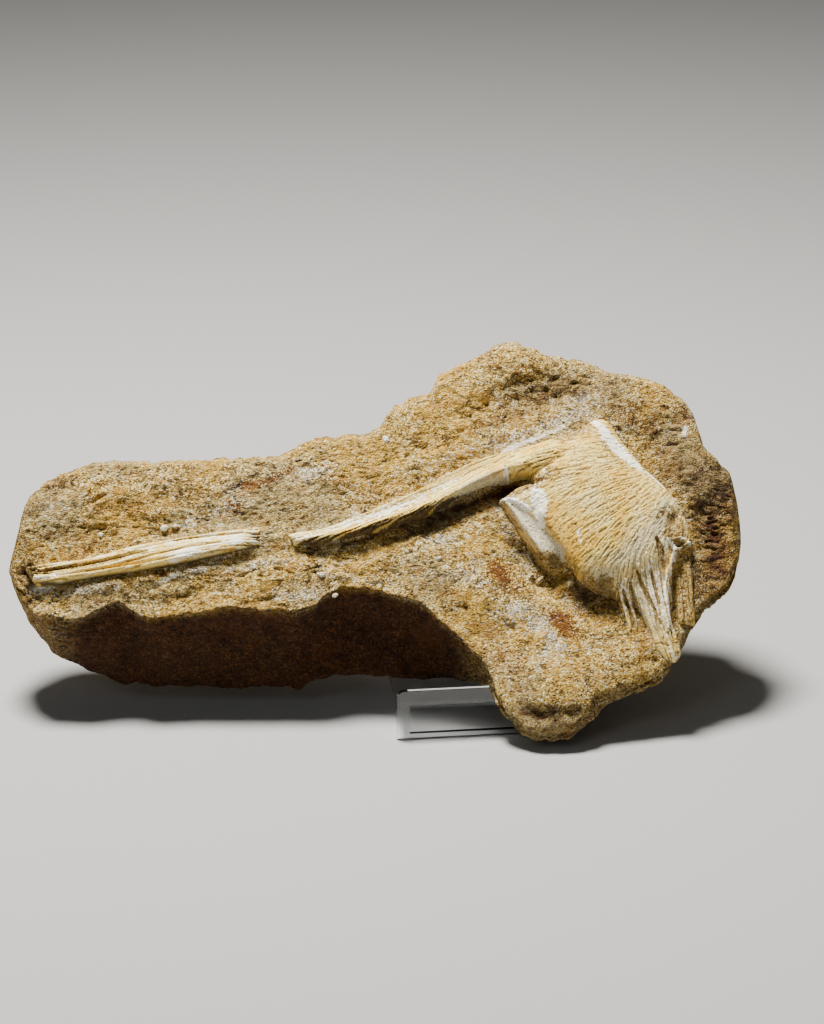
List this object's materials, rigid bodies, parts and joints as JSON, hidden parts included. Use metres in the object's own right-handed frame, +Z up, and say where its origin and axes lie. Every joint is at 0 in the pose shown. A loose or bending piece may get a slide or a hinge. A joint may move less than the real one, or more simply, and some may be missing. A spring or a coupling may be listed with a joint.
{
  "type": "fossil mosasaur vertebra",
  "caption": "Fossil vertebra with a long spine, half bared in a slab of tan sandstone that leans on a clear display stand.",
  "frame": {"origin": "middle of the underside of the stand's front foot bar", "axes": "+X along the slab towards the block with the bone, +Y back from the viewer, +Z up"},
  "size_m": [0.28, 0.1237, 0.128],
  "materials": {
    "sandstone": "sandy, matt",
    "fossil_bone": "fibrous, matt",
    "clear_acrylic": "clear, polished"
  },
  "bodies": {
    "root": {"matrix": "sandstone", "vertebra": "fossil_bone", "spine_tip": "fossil_bone", "display_stand": "clear_acrylic"}
  },
  "joints": []
}
